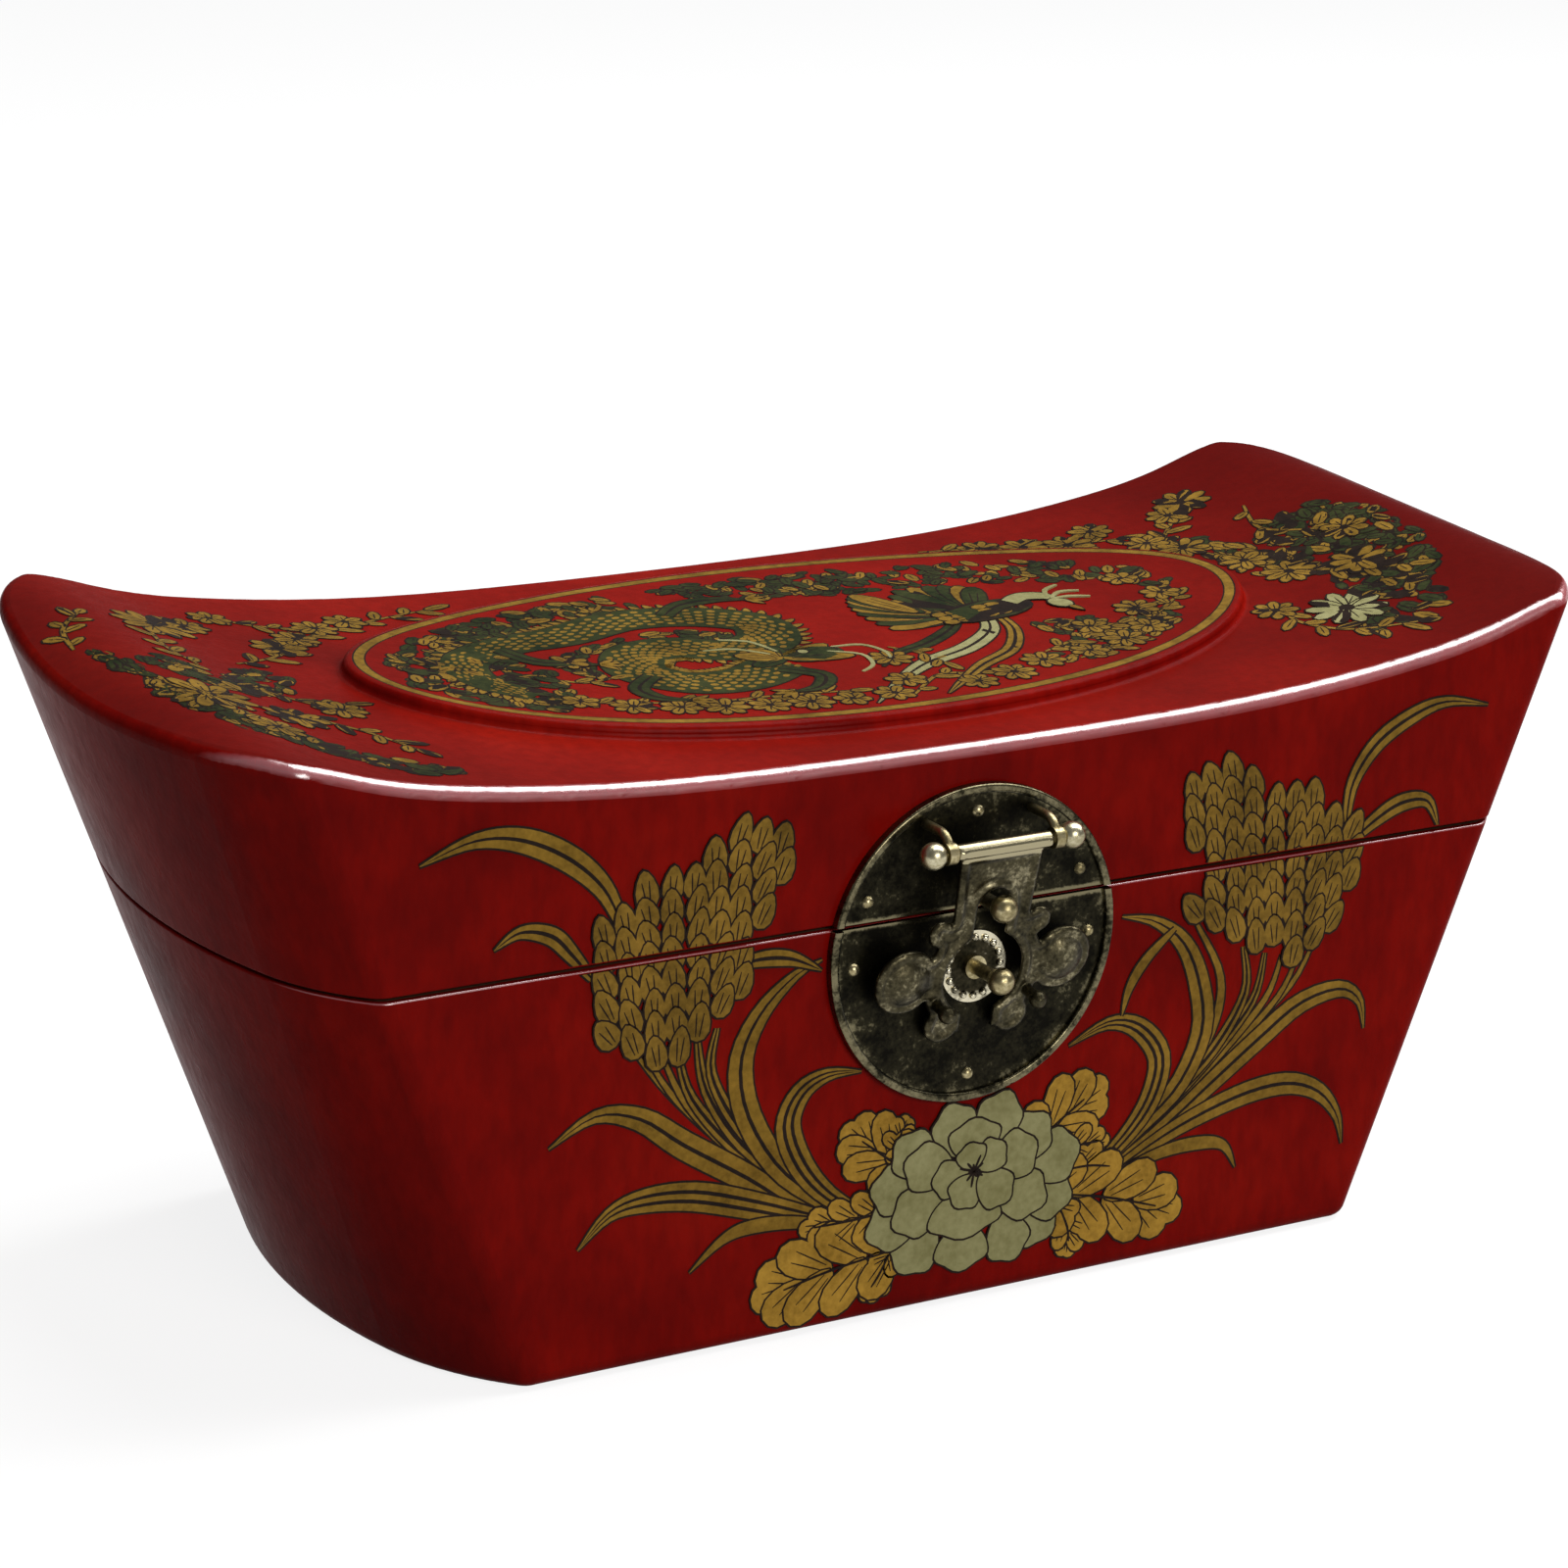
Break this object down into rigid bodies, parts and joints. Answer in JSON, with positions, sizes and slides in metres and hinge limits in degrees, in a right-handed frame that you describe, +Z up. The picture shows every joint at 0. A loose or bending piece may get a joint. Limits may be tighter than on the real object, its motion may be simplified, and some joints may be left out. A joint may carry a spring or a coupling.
{
  "type": "jewelry box",
  "caption": "Pillow-shaped red lacquered leather jewelry box: saddle-topped hinged lid, round brass lock plate with a swinging cloud-shaped hasp.",
  "frame": {"origin": "middle of the underside, midway between the ends and between the front and back edges of the bottom", "axes": "+X along the front to the viewer's right, +Y from front to back, +Z up"},
  "size_m": [0.2964, 0.1328, 0.1251],
  "materials": {
    "red_lacquered_leather": "glossy lacquer over leather, painted ornament",
    "carcass_wood": "bare sawn wood",
    "lining_cloth": "satin cloth",
    "antique_brass": "antiqued, darkened in the hollows"
  },
  "bodies": {
    "base": {"base_bottom_board": "red_lacquered_leather", "base_front_board": "carcass_wood", "base_back_board": "carcass_wood", "base_left_end": "carcass_wood", "base_right_end": "carcass_wood", "base_leather_cover": "red_lacquered_leather", "base_wall_lining": "lining_cloth", "base_floor_pad": "lining_cloth", "lower_lock_plate": "antique_brass", "lower_plate_nails": "antique_brass", "lower_ball_post": "antique_brass", "lower_post_rosette": "antique_brass", "left_hinge_base_leaf": "antique_brass", "right_hinge_base_leaf": "antique_brass", "left_hinge_pin": "antique_brass", "right_hinge_pin": "antique_brass", "hinge_base_nails": "antique_brass"},
    "lid": {"lid_top_board": "carcass_wood", "lid_front_board": "carcass_wood", "lid_back_board": "carcass_wood", "lid_left_end": "carcass_wood", "lid_right_end": "carcass_wood", "lid_leather_cover": "red_lacquered_leather", "lid_top_lining": "lining_cloth", "lid_wall_lining": "lining_cloth", "upper_lock_plate": "antique_brass", "upper_plate_nails": "antique_brass", "upper_ball_post": "antique_brass", "hasp_eye_posts": "antique_brass", "hasp_hinge_pin": "antique_brass", "left_hinge_lid_leaf": "antique_brass", "right_hinge_lid_leaf": "antique_brass", "hinge_lid_nails": "antique_brass"},
    "hasp": {"hasp": "antique_brass"}
  },
  "joints": [
    {"name": "lid_hinge", "type": "hinge", "parent": "base", "child": "lid", "pos_m": [0, 0.06229, 0.07687], "axis": [-1, 0, 0], "range_deg": [0, 100]},
    {"name": "hasp_hinge", "type": "hinge", "parent": "lid", "child": "hasp", "pos_m": [0, -0.0649, 0.0911], "axis": [-1, 0, 0], "range_deg": [0, 215]}
  ]
}
